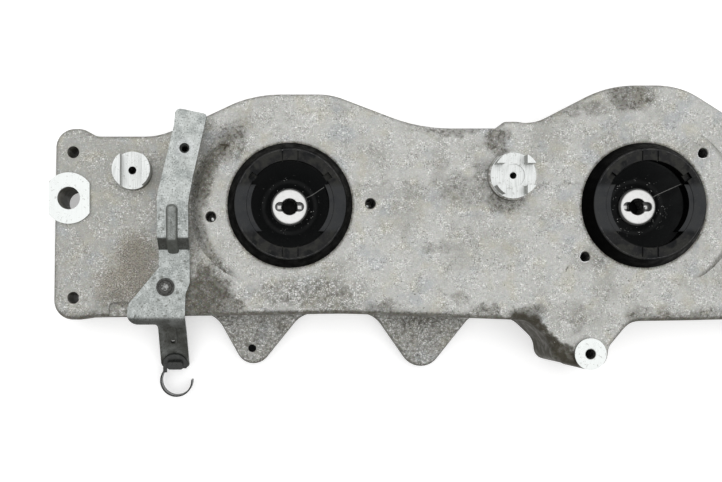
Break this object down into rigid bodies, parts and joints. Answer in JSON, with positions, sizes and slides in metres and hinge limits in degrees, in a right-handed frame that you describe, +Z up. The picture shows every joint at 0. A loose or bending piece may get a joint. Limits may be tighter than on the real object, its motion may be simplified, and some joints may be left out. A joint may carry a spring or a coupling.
{
  "type": "engine mount bracket",
  "caption": "Long cast aluminium bracket with round hydraulic rubber mounts pressed into it, a folded sheet bracket and a cable clip.",
  "frame": {"origin": "axis of the left end bore, on the plane of the underside rims", "axes": "+X along the bracket towards the other end, +Y across it away from the ears, +Z up, out of the mounts"},
  "size_m": [0.6216, 0.2355, 0.055],
  "materials": {
    "casting": "as-cast, dull",
    "can": "black coated steel",
    "mount_ring": "black, slightly worn",
    "mount_rubber": "oily black",
    "core": "machined",
    "channel_plate": "moulded",
    "inner_rubber": "moulded",
    "base_cup": "pressed",
    "zinc_sheet": "zinc plated",
    "screw": "dark zinc plated",
    "clip": "moulded"
  },
  "bodies": {
    "root": {"carrier_casting": "casting", "outer_can_left": "can", "stop_ring_left": "mount_ring", "rubber_spring_left": "mount_rubber", "core_left": "core", "channel_plate_left": "channel_plate", "decoupler_left": "inner_rubber", "diaphragm_left": "inner_rubber", "base_cup_left": "base_cup", "outer_can_right": "can", "stop_ring_right": "mount_ring", "rubber_spring_right": "mount_rubber", "core_right": "core", "channel_plate_right": "channel_plate", "decoupler_right": "inner_rubber", "diaphragm_right": "inner_rubber", "base_cup_right": "base_cup", "bracket_plate": "zinc_sheet", "bracket_screw": "screw", "cable_clip": "clip"}
  },
  "joints": []
}
